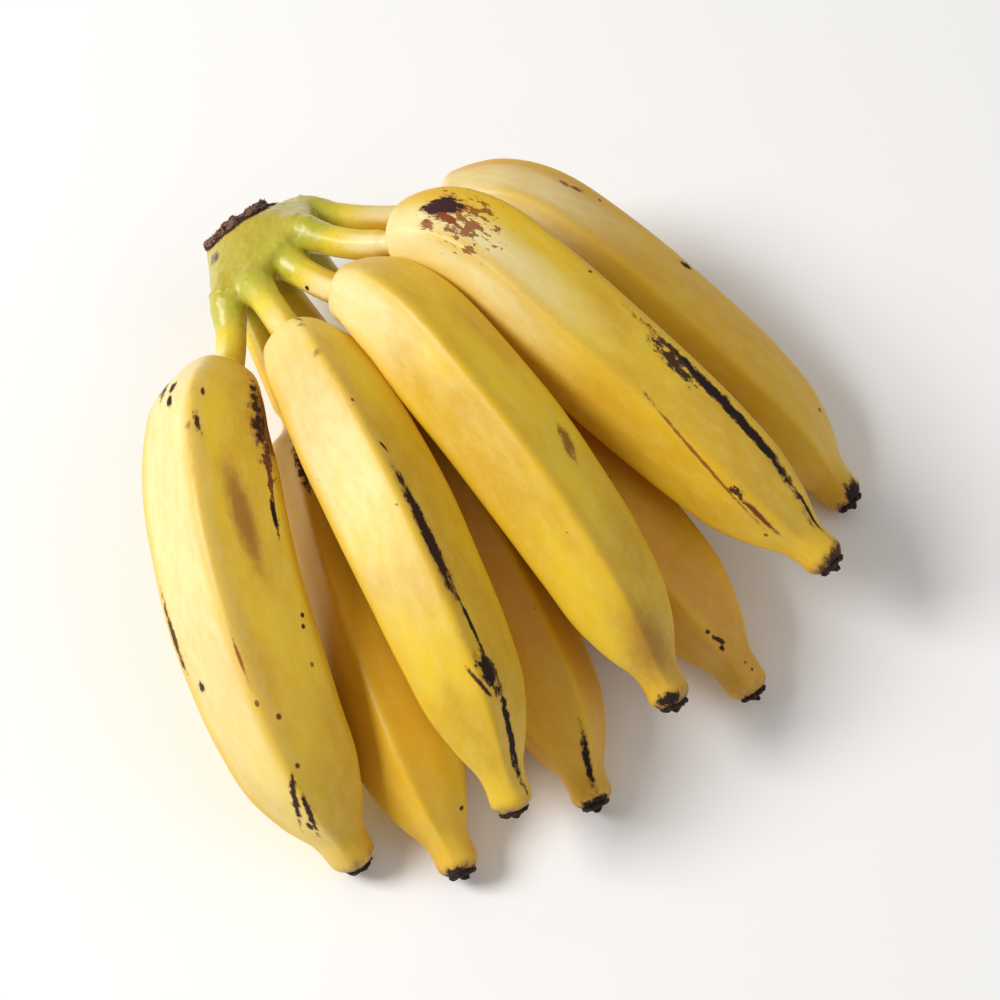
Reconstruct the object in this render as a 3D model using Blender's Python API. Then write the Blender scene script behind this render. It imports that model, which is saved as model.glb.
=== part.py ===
# A hand of eight bananas in two rows, lying on a flat surface: one crown, eight
# fingers and the dried blossom remnant at each finger's end.
# Metres, +Z up. The crown is at +Y and the fingers point to -Y.

import math

import bmesh
import bpy
from mathutils import Vector
from mathutils.bvhtree import BVHTree

# Driving dimensions of a middling finger; each finger takes a share of them.
fruit_length = 0.155  # shoulder to blossom end, along the curve
fruit_width = 0.037  # ridge to ridge at the thickest place
stalk_length = 0.032  # crown seat to shoulder
stalk_width = 0.0092  # at mid stalk
tip_width = 0.0115  # where the blossom sat
blossom_length = 0.003
crown_width = 0.024  # across the cut end
crown_depth = 0.022  # through the cut end
crown_length = 0.0175  # heart of the crown to the cut end
clearance = 0.0003  # between pieces that touch

# The stalk spreads a little where it joins the crown, and seats keep apart by a pitch.
seat_flare = 1.06
seat_pitch = stalk_width * seat_flare + 0.00065

# Fruit outline: (share of the length, share of the half width), shoulder to tip.
outline = (
    (0.02, 0.52), (0.05, 0.70), (0.09, 0.82), (0.15, 0.895), (0.25, 0.975), (0.40, 1.0),
    (0.55, 0.975), (0.70, 0.915), (0.80, 0.81), (0.87, 0.61), (0.92, 0.44), (0.96, 0.36),
)
stalk_stations = 6
sides = 20
ridge_count = 5
ridge_sharpness = 7  # the higher, the flatter the faces between ridges
stalk_ridges = 0.35  # how five-sided the stalk and tip are, against 1 for the fruit

# Where a finger's shoulder turn begins and how long it takes, as shares of the fruit.
shoulder_start = -0.06
shoulder_span = 0.30

# One entry a finger. seat: across, along and up from the heart, in seat pitches.
# splay turns the stalk from -Y towards +X and lift raises it. lean tips the plane
# of bending from straight down towards the splay's side. stalk, shoulder and fruit
# are the turns along the finger, roll turns its ridges. Angles are in degrees.
# length, stalk and width are shares of the middling finger. yields is the (splay,
# lift) by which the finger gives way to those placed before it.
fingers = {
    "lower_1": dict(seat=(-1.10, -0.10, -0.72), splay=-11.5, lift=-11, lean=21,
                    stalk_turn=8.5, shoulder_turn=-40, fruit_turn=42, roll=0,
                    stalk=1.40, length=0.957, width=0.975, yields=(0, 0)),
    "lower_2": dict(seat=(-0.06, -0.14, -0.43), splay=0.25, lift=-1.5, lean=-28.5,
                    stalk_turn=-4, shoulder_turn=6, fruit_turn=19.5, roll=-10,
                    stalk=1.80, length=0.867, width=0.94, yields=(1, 0)),
    "lower_3": dict(seat=(1.49, 0.58, -1.59), splay=7.5, lift=-8.5, lean=-20,
                    stalk_turn=-6, shoulder_turn=-23, fruit_turn=43, roll=25,
                    stalk=1.25, length=1.02, width=1.025, yields=(1, 0)),
    "lower_4": dict(seat=(1.97, 1.25, -0.38), splay=40, lift=0.5, lean=-52.5,
                    stalk_turn=-26, shoulder_turn=47, fruit_turn=12.5, roll=10,
                    stalk=1.50, length=0.98, width=1.01, yields=(1, 0)),
    "upper_1": dict(seat=(-1.97, -0.82, 0.72), splay=-20.5, lift=-12, lean=34.5,
                    stalk_turn=-46, shoulder_turn=24.5, fruit_turn=59.5, roll=20,
                    stalk=0.98, length=1.0, width=1.12, yields=(-1, 0)),
    "upper_2": dict(seat=(-1.04, -0.87, 1.01), splay=-6.5, lift=18.5, lean=-4.5,
                    stalk_turn=2, shoulder_turn=7, fruit_turn=41, roll=0,
                    stalk=1.0, length=0.995, width=0.955, yields=(0, 1)),
    "upper_3": dict(seat=(0.14, -0.43, 0.82), splay=9, lift=8, lean=-17,
                    stalk_turn=-29.5, shoulder_turn=36, fruit_turn=30.5, roll=-25,
                    stalk=1.05, length=1.02, width=0.945, yields=(1, 0.5)),
    "upper_4": dict(seat=(1.06, -0.14, 1.06), splay=27, lift=6, lean=-26.5,
                    stalk_turn=-36, shoulder_turn=59.5, fruit_turn=0.5, roll=15,
                    stalk=1.23, length=1.025, width=0.995, yields=(1, 0.5)),
}
yield_step = 0.25  # degrees
most_yields = 160

# The crown's cut end looks back and up, a little to the left of straight behind.
cut_rise = 22.3
cut_turn = 5.3
cut_tilt = 16  # the cut's long axis, up from level
cut_centre = Vector((-0.085, 1.0, 0.0)) * crown_length
crown_outline = ((0.0, 1.0), (0.2, 1.05), (0.55, 1.1))  # (share of the way in, swell)
crown_sides = 24

blossom_sides = 10
blossom_rags = ((0.0, 0.94, 0.0), (0.35, 1.0, 0.04), (0.75, 0.88, 0.10), (1.0, 0.62, 0.22))


def smooth_step(x):
    x = min(max(x, 0.0), 1.0)
    return x * x * (3 - 2 * x)


def five_sided(angle, ridges):
    """Radius share at this angle from a ridge: 1 on a ridge, less on the faces."""
    power = ridge_sharpness
    step = 2 * math.pi / ridge_count
    facing = [math.cos(angle - step * (k + 0.5)) for k in range(ridge_count)]
    at_ridge = [math.cos(step * (k + 0.5)) for k in range(ridge_count)]
    radius = sum(max(0.0, c) ** power for c in facing) ** (-1 / power)
    ridge = sum(max(0.0, c) ** power for c in at_ridge) ** (-1 / power)
    return 1 + ridges * (radius / ridge - 1)


def start_axes(finger):
    """The stalk's first direction, the way it bends, and the normal of that plane."""
    splay = math.radians(finger["splay"])
    lift = math.radians(finger["lift"])
    lean = math.radians(finger["lean"])
    along = Vector((math.sin(splay) * math.cos(lift), -math.cos(splay) * math.cos(lift), math.sin(lift)))
    across = Vector((math.cos(splay), math.sin(splay), 0))
    down = across.cross(along)
    bend = down * math.cos(lean) + across * math.sin(lean)
    return along, bend, along.cross(bend)


def seat_of(finger):
    return Vector(finger["seat"]) * seat_pitch


def lengths_of(finger):
    return stalk_length * finger["stalk"], fruit_length * finger["length"]


def spine(finger, stations):
    """(centre, outward, sideways) at each distance from the seat."""
    along, bend, side = start_axes(finger)
    stalk, fruit = lengths_of(finger)

    def turn(s):
        share = (s - stalk) / fruit
        degrees = finger["stalk_turn"] * min(s / stalk, 1) + finger["fruit_turn"] * max(share, 0)
        degrees += finger["shoulder_turn"] * smooth_step((share - shoulder_start) / shoulder_span)
        return math.radians(degrees)

    frames = []
    place = seat_of(finger)
    s = 0.0
    for station in stations:
        steps = max(1, round((station - s) / 0.001))
        step = (station - s) / steps
        for _ in range(steps):
            middle = turn(s + step / 2)
            place = place + (along * math.cos(middle) + bend * math.sin(middle)) * step
            s += step
        angle = turn(station)
        outward = along * math.sin(angle) - bend * math.cos(angle)
        frames.append((place.copy(), outward, side))
    return frames


def finger_stations(finger):
    """(distance from the seat, radius, how five-sided) from the seat to the tip."""
    stalk, fruit = lengths_of(finger)
    half_width = fruit_width / 2 * finger["width"]
    stations = []
    for k in range(stalk_stations):
        share = k / (stalk_stations - 1)
        flare = 1 + (seat_flare - 1) * (1 - share) ** 2 + 0.05 * share**4
        stations.append((stalk * share, stalk_width / 2 * flare, stalk_ridges))
    for share, radius in outline:
        fade = smooth_step(share / 0.12) * smooth_step((0.99 - share) / 0.14)
        ridges = stalk_ridges + (1 - stalk_ridges) * fade
        stations.append((stalk + fruit * share, half_width * radius, ridges))
    stations.append((stalk + fruit, tip_width / 2, stalk_ridges))
    return stations


def finger_rings(finger, swell=0.0, count=None):
    stations = finger_stations(finger)[:count]
    frames = spine(finger, [distance for distance, _, _ in stations])
    roll = math.radians(finger["roll"])
    rings = []
    for (_, radius, ridges), (centre, outward, side) in zip(stations, frames):
        ring = []
        for k in range(sides):
            angle = 2 * math.pi * k / sides
            reach = radius * five_sided(angle, ridges) + swell
            ring.append(centre + (outward * math.cos(angle + roll) + side * math.sin(angle + roll)) * reach)
        rings.append(ring)
    return rings


def ellipse(centre, wide, deep, half_width, half_depth):
    ring = []
    for k in range(crown_sides):
        angle = 2 * math.pi * k / crown_sides
        ring.append(centre + wide * half_width * math.cos(angle) + deep * half_depth * math.sin(angle))
    return ring


def add_object(name, bm, collection, material=None):
    mesh = bpy.data.meshes.new(name)
    bmesh.ops.recalc_face_normals(bm, faces=bm.faces)
    bm.to_mesh(mesh)
    bm.free()
    mesh.shade_smooth()
    mesh.set_sharp_from_angle(angle=math.radians(50))
    if material:
        mesh.materials.append(material)
    thing = bpy.data.objects.new(name, mesh)
    collection.objects.link(thing)
    return thing


def loft(name, rings, collection, material=None):
    """A closed solid through rings of equal count, with flat ends."""
    bm = bmesh.new()
    loops = [[bm.verts.new(point) for point in ring] for ring in rings]
    count = len(rings[0])
    for low, high in zip(loops, loops[1:]):
        for k in range(count):
            bm.faces.new((low[k], low[(k + 1) % count], high[(k + 1) % count], high[k]))
    bm.faces.new(loops[0])
    bm.faces.new(loops[-1])
    return add_object(name, bm, collection, material)


def tree_of(rings):
    """Search tree of the swept skin, for telling whether two fingers meet."""
    count = len(rings[0])
    points = [point for ring in rings for point in ring]
    faces = []
    for row in range(len(rings) - 1):
        for k in range(count):
            near = row * count
            beside = (k + 1) % count
            faces.append((near + k, near + beside, near + count + beside, near + count + k))
    return BVHTree.FromPolygons(points, faces)


def settle():
    """Fans out or lifts each finger until it clears those placed before it."""
    placed = []
    for finger in fingers.values():
        tree = tree_of(finger_rings(finger, clearance))
        for _ in range(most_yields):
            if not any(tree.overlap(other) for other in placed):
                break
            finger["splay"] += yield_step * finger["yields"][0]
            finger["lift"] += yield_step * finger["yields"][1]
            tree = tree_of(finger_rings(finger, clearance))
        placed.append(tree)


def cut_axes():
    """The cut end's outward normal, and its directions across and through."""
    rise = math.radians(cut_rise)
    turn = math.radians(cut_turn)
    normal = Vector((-math.sin(turn) * math.cos(rise), math.cos(turn) * math.cos(rise), math.sin(rise)))
    across = Vector((math.cos(math.radians(cut_tilt)), 0, math.sin(math.radians(cut_tilt))))
    across = (across - normal * across.dot(normal)).normalized()
    return normal, across, normal.cross(across)


def crown(parts, tools, material):
    """A wedge from the cut end to the eight seats, cut back where each stalk begins."""
    normal, across, through = cut_axes()
    points = []
    for depth, spread in crown_outline:
        centre = cut_centre * (1 - depth)
        half_width = crown_width / 2 * spread
        half_depth = crown_depth / 2 * spread
        points += ellipse(centre, across, through, half_width, half_depth)
    for finger in fingers.values():
        points += finger_rings(finger)[0]
    bm = bmesh.new()
    for point in points:
        bm.verts.new(point)
    inside = bmesh.ops.convex_hull(bm, input=bm.verts)["geom_interior"]
    bmesh.ops.delete(bm, geom=[item for item in inside if isinstance(item, bmesh.types.BMVert)])
    body = add_object("crown", bm, parts, material)
    for name, finger in fingers.items():
        rings = finger_rings(finger, clearance, stalk_stations)
        along = start_axes(finger)[0]
        rings[0] = [point - along * clearance for point in rings[0]]
        cutter = body.modifiers.new("seat_" + name, "BOOLEAN")
        cutter.operation = "DIFFERENCE"
        cutter.object = loft("seat_" + name, rings, tools)
        cutter.object.hide_render = True
        cutter.object.display_type = "WIRE"


def blossom_end(name, finger, parts, material):
    """The dry ragged stub left of the flower, just off the fruit's end."""
    start = sum(lengths_of(finger)) + clearance
    stations = [start + blossom_length * share for share, _, _ in blossom_rags]
    rings = []
    for (_, size, rag), (centre, outward, side) in zip(blossom_rags, spine(finger, stations)):
        ring = []
        for k in range(blossom_sides):
            angle = 2 * math.pi * k / blossom_sides
            ragged = 1 + rag * math.cos(ridge_count * angle / 2 + finger["roll"]) ** 3
            reach = tip_width / 2 * size * ragged
            ring.append(centre + (outward * math.cos(angle) + side * math.sin(angle)) * reach)
        rings.append(ring)
    return loft(name, rings, parts, material)


def paint(name, colour, roughness):
    material = bpy.data.materials.new(name)
    material.use_nodes = True
    shader = material.node_tree.nodes["Principled BSDF"]
    shader.inputs["Base Color"].default_value = (*colour, 1)
    shader.inputs["Roughness"].default_value = roughness
    shader.inputs["Metallic"].default_value = 0
    return material


def collection_named(name):
    collection = bpy.data.collections.new(name)
    bpy.context.scene.collection.children.link(collection)
    return collection


def stand_on_ground(parts):
    """Centres the bunch over the origin with its lowest point on Z = 0."""
    bpy.context.view_layer.update()
    graph = bpy.context.evaluated_depsgraph_get()
    points = []
    for thing in parts.objects:
        mesh = thing.evaluated_get(graph).to_mesh()
        points += [vertex.co.copy() for vertex in mesh.vertices]
    low = [min(point[axis] for point in points) for axis in range(3)]
    high = [max(point[axis] for point in points) for axis in range(3)]
    shift = Vector((-(low[0] + high[0]) / 2, -(low[1] + high[1]) / 2, -low[2]))
    for thing in bpy.data.objects:
        thing.location = shift


def main():
    for thing in list(bpy.data.objects):
        bpy.data.objects.remove(thing)
    parts = collection_named("banana_bunch")
    tools = collection_named("crown_tools")
    settle()
    crown(parts, tools, paint("crown_green", (0.42, 0.46, 0.08), 0.5))
    for name, finger in fingers.items():
        row, number = name.split("_")
        skin = paint(name + "_skin", (0.80, 0.62, 0.06), 0.42)
        loft(f"{row}_banana_{number}", finger_rings(finger), parts, skin)
        dry = paint(name + "_blossom", (0.035, 0.022, 0.015), 0.85)
        blossom_end(f"{row}_blossom_end_{number}", finger, parts, dry)
    stand_on_ground(parts)


main()
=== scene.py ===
import math

import bmesh
import bpy
import numpy as np
from mathutils import Matrix, Vector, noise


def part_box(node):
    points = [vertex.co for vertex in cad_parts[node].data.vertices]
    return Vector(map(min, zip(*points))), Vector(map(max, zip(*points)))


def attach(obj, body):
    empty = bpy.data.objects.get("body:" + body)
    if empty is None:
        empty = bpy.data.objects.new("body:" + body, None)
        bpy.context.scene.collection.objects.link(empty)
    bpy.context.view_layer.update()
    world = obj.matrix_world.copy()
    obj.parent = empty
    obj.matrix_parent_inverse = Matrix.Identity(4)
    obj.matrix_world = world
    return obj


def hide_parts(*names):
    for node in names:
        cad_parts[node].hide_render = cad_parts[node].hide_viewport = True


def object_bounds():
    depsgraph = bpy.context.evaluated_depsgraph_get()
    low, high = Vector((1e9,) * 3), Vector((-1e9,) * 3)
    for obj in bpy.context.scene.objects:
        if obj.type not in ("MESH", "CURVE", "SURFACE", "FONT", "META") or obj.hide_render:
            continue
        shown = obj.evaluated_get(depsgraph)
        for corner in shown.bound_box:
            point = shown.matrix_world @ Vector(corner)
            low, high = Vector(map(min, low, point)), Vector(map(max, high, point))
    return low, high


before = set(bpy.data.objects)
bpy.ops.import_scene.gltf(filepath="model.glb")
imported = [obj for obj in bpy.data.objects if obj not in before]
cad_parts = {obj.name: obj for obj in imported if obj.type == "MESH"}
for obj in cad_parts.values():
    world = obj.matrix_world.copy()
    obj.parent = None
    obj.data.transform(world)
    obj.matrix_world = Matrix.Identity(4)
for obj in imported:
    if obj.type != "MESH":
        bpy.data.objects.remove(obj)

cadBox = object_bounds()
floorHeight = cadBox[0][2]
rows = ("upper", "lower")
fingerNames = [f"{row}_banana_{k}" for row in rows for k in (1, 2, 3, 4)]


def setMode(mode):
    bpy.ops.object.mode_set(mode=mode)


def addToScene(piece):
    bpy.context.scene.collection.objects.link(piece)


def applyPlace():
    bpy.ops.object.transform_apply(location=True, rotation=True, scale=True)


def clearSelection():
    if bpy.context.mode != "OBJECT":
        setMode("OBJECT")
    bpy.ops.object.select_all(action="DESELECT")


def makeActive(piece):
    clearSelection()
    piece.select_set(True)
    bpy.context.view_layer.objects.active = piece


def shadeSmooth(piece):
    makeActive(piece)
    bpy.ops.object.shade_smooth()


def smoothStep(x):
    x = np.clip(x, 0.0, 1.0)
    return x * x * (3 - 2 * x)


def tone(red, green, blue):
    # a colour given in screen values, made linear
    parts = []
    for part in (red, green, blue):
        part /= 255
        parts.append(part / 12.92 if part <= 0.04045 else ((part + 0.055) / 1.055) ** 2.4)
    return (*parts, 1.0)


ringSides = 20  # points in each ring of a finger's CAD node
ridgeCount = 5
stalkRings = 5  # index of the ring where the stalk meets the shoulder
mergeGap = 0.00002  # points nearer than this are one


def mergedNode(nodeName):
    work = bmesh.new()
    work.from_mesh(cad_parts[nodeName].data)
    bmesh.ops.remove_doubles(work, verts=work.verts, dist=mergeGap)
    return work


def readRings(fingerName):
    # rings of points from the crown to the tip
    low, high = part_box(fingerName.replace("banana", "blossom_end"))
    end = (low + high) / 2
    work = mergedNode(fingerName)
    nearest = sorted(work.verts, key=lambda v: (v.co - end).length)
    layer = set(nearest[:ringSides])
    seen = set(layer)
    rings = []
    while layer:
        rings.append(np.array([v.co[:] for v in layer]))
        layer = {edge.other_vert(v) for v in layer for edge in v.link_edges} - seen
        seen |= layer
    work.free()
    rings.reverse()
    return rings


def readSpine(fingerName):
    rings = readRings(fingerName)
    centres = np.array([ring.mean(0) for ring in rings])
    side = np.linalg.svd(centres - centres.mean(0))[2][2]
    tangents = []
    for k, ring in enumerate(rings):
        normal = np.linalg.svd(ring - ring.mean(0))[2][2]
        ahead = centres[min(k + 1, len(rings) - 1)] - centres[max(k - 1, 0)]
        tangents.append(normal if normal @ ahead > 0 else -normal)
    tangents = np.array(tangents)
    if np.cross(tangents, side)[:, 2].mean() < 0:
        side = -side
    along = [0.0]
    for k in range(1, len(rings)):
        chord = np.linalg.norm(centres[k] - centres[k - 1])
        half = math.acos(min(1.0, tangents[k] @ tangents[k - 1])) / 2
        along.append(along[-1] + chord * (half / math.sin(half) if half > 1e-4 else 1.0))
    crest, face, swing = [], [], 0j
    for ring, centre, tangent in zip(rings, centres, tangents):
        outward = np.cross(tangent, side)
        arm = ring - centre
        angle = np.arctan2(arm @ side, arm @ outward)
        reach = np.linalg.norm(arm, axis=1)
        crest.append(reach.max())
        face.append(reach.min())
        swing += (reach * np.exp(1j * ridgeCount * angle)).sum()
    return {
        "along": np.array(along), "centre": centres, "tangent": tangents, "side": side,
        "crest": np.array(crest), "face": np.array(face),
        "ridgeTurn": float(np.angle(swing)) / ridgeCount,
        "shoulder": along[stalkRings], "tip": along[-1],
    }


def spineAt(spine, along):
    # centre, tangent, outward and side at distances along the spine, straight on past both ends
    s = np.atleast_1d(np.asarray(along, float))
    knots = spine["along"]
    held = np.clip(s, knots[0], knots[-1])
    k = np.clip(np.searchsorted(knots, held, side="right") - 1, 0, len(knots) - 2)
    span = knots[k + 1] - knots[k]
    x = ((held - knots[k]) / span)[:, None]
    p0, p1 = spine["centre"][k], spine["centre"][k + 1]
    m0, m1 = spine["tangent"][k] * span[:, None], spine["tangent"][k + 1] * span[:, None]
    centre = (2 * x**3 - 3 * x**2 + 1) * p0 + (x**3 - 2 * x**2 + x) * m0
    centre = centre + (3 * x**2 - 2 * x**3) * p1 + (x**3 - x**2) * m1
    slope = (6 * x**2 - 6 * x) * (p0 - p1) + (3 * x**2 - 4 * x + 1) * m0 + (3 * x**2 - 2 * x) * m1
    tangent = slope / np.linalg.norm(slope, axis=1)[:, None]
    centre = centre + tangent * (s - held)[:, None]
    side = np.broadcast_to(spine["side"], tangent.shape)
    return centre, tangent, np.cross(tangent, side), side


def curveAt(knots, values, at):
    # smooth curve through values at knots
    at = np.clip(at, knots[0], knots[-1])
    slopes = np.gradient(values, knots)
    k = np.clip(np.searchsorted(knots, at, side="right") - 1, 0, len(knots) - 2)
    span = knots[k + 1] - knots[k]
    x = (at - knots[k]) / span
    low = (2 * x**3 - 3 * x**2 + 1) * values[k] + (x**3 - 2 * x**2 + x) * span * slopes[k]
    high = (3 * x**2 - 2 * x**3) * values[k + 1] + (x**3 - x**2) * span * slopes[k + 1]
    return low + high


spines = {name: readSpine(name) for name in fingerNames}
print("spines read", len(spines))


bananaShape = {
    "around": 32, "levels": 2, "inCrown": 0.004,
    # rings: their steps, where they are close together, and those that close the tip
    "alongStep": 0.0042, "endStep": 0.0021, "denseReach": 0.02, "densePastShoulder": 0.006,
    "denseBeforeTip": 0.012, "tipGap": 0.002, "pastTip": 0.0011, "capRings": (-1.5, -0.6, 0.1, 0.65, 1.0),
    # neck, lip and rounding at the blossom end, as shares of the fruit's length
    "waist": 0.075, "waistAt": 0.935, "waistWidth": 0.028, "lip": 0.05, "lipAt": 0.982, "lipWidth": 0.014,
    "endRound": 0.0026, "endReach": 1.62, "endFullest": 0.97,
    # shoulder: how far the lean, the early start and the flare reach
    "flowReach": 0.05, "earlyReach": 0.045, "earlyFrom": 0.008, "earlyOver": 0.016,
    "flareBefore": 0.003, "flareWidth": 0.0045,
    # ridges and waves
    "ridgeSharpness": 13, "crestHeight": 0.0007, "crestAngle": 8, "crestPower": 1.6, "crestFade": 0.12,
    "crestEnd": 0.97, "ridgeBand": 0.0075,
    "waveHeight": 0.0005, "waveScale": 38, "waveShift": 3.7, "waveOnStalk": 0.25,
}


def fiveSided(angle, sharpness):
    # 1 on a ridge, less on the faces between
    step = 2 * math.pi / ridgeCount
    total = 0
    for k in range(ridgeCount):
        total = total + np.maximum(0.0, np.cos(angle - step * (k + 0.5))) ** sharpness
    atRidge = 2 * math.cos(step / 2) ** sharpness
    return (total / atRidge) ** (-1 / sharpness)


def stationsOf(spine):
    # where the rings go, closer together at the shoulder and the tip
    shape = bananaShape
    s = -shape["inCrown"]
    stations = []
    while s <= spine["tip"] - shape["tipGap"]:
        stations.append(s)
        offShoulder = abs(s - spine["shoulder"] - shape["densePastShoulder"]) / shape["denseReach"]
        offTip = abs(spine["tip"] - shape["denseBeforeTip"] - s) / shape["denseReach"]
        s += shape["endStep"] + (shape["alongStep"] - shape["endStep"]) * min(offShoulder, offTip, 1.0)
    return stations + [spine["tip"] + shape["pastTip"] * k for k in shape["capRings"]]


def endShare(s, spine):
    # the neck pulls in, swells into a lip and rounds off at the blossom end
    shape = bananaShape
    share = (s - spine["shoulder"]) / (spine["tip"] - spine["shoulder"])
    neck = 1 - shape["waist"] * np.exp(-((share - shape["waistAt"]) / shape["waistWidth"]) ** 2)
    neck = neck + shape["lip"] * np.exp(-((share - shape["lipAt"]) / shape["lipWidth"]) ** 2)
    over = (s - spine["tip"] + shape["endRound"]) / (shape["endRound"] * shape["endReach"])
    return neck * np.sqrt(1 - np.clip(over, 0, shape["endFullest"])**2)


def selectAll():
    bpy.ops.mesh.select_all(action="SELECT")


def closeUp():
    # fills the open ends, turns the faces outwards and leaves edit mode
    selectAll()
    bpy.ops.mesh.fill_holes(sides=0)
    selectAll()
    bpy.ops.mesh.normals_make_consistent(inside=False)
    setMode("OBJECT")


def loftRings(name, stations, spine, around, radiusAt):
    # circles at their places on the spine, each bridged to the one before, then closed
    clearSelection()
    for k, s in enumerate(stations):
        centre, tangent, outward, side = (Vector(v[0]) for v in spineAt(spine, s))
        turn = Matrix((side, outward, tangent)).transposed().to_euler()
        bpy.ops.mesh.primitive_circle_add(vertices=around, radius=radiusAt(s), location=centre,
                                          rotation=turn)
        if k == 0:
            piece = bpy.context.object
            piece.name = piece.data.name = name
            applyPlace()
            setMode("EDIT")
            continue
        work = bmesh.from_edit_mesh(piece.data)
        before, ahead, _, _ = (Vector(v[0]) for v in spineAt(spine, stations[k - 1]))
        reach = radiusAt(stations[k - 1]) * 1.01
        for vert in work.verts:
            arm = vert.co - before
            if abs(arm.dot(ahead)) < mergeGap and arm.length < reach:
                vert.select = True
        work.select_flush(True)
        bmesh.update_edit_mesh(piece.data)
        bpy.ops.mesh.bridge_edge_loops(type="SINGLE")
    closeUp()
    return piece


def applyModifier(piece, kind, **settings):
    makeActive(piece)
    bpy.ops.object.modifier_add(type=kind)
    modifier = piece.modifiers[-1]
    for key, value in settings.items():
        setattr(modifier, key, value)
    bpy.ops.object.modifier_apply(modifier=modifier.name)


def subdivide(piece, levels):
    applyModifier(piece, "SUBSURF", levels=levels, render_levels=levels)


def pointsOf(piece):
    points = np.zeros(len(piece.data.vertices) * 3)
    piece.data.vertices.foreach_get("co", points)
    return points.reshape(-1, 3)


def setPoints(piece, points):
    piece.data.vertices.foreach_set("co", points.ravel())
    piece.data.update()


def placeOnSpine(points, spine):
    # distance along, distance out and angle round the spine of each point
    beyond, gridStep, batch = 0.012, 0.0005, 4000
    grid = np.arange(-beyond, spine["tip"] + beyond, gridStep)
    centre, tangent, outward, side = spineAt(spine, grid)
    nearest = np.zeros(len(points), int)
    for k in range(0, len(points), batch):
        gap = points[k:k + batch, None, :] - centre[None]
        nearest[k:k + batch] = (gap**2).sum(2).argmin(1)
    s = grid[nearest]
    for _ in range(3):
        centre, tangent, outward, side = spineAt(spine, s)
        s = s + ((points - centre) * tangent).sum(1)
    centre, tangent, outward, side = spineAt(spine, s)
    arm = points - centre
    return s, np.linalg.norm(arm, axis=1), np.arctan2((arm * side).sum(1), (arm * outward).sum(1))


def saveVector(piece, name, values):
    layer = piece.data.attributes.new(name, "FLOAT_VECTOR", "POINT")
    layer.data.foreach_set("vector", np.ascontiguousarray(values, np.float32).ravel())
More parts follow.
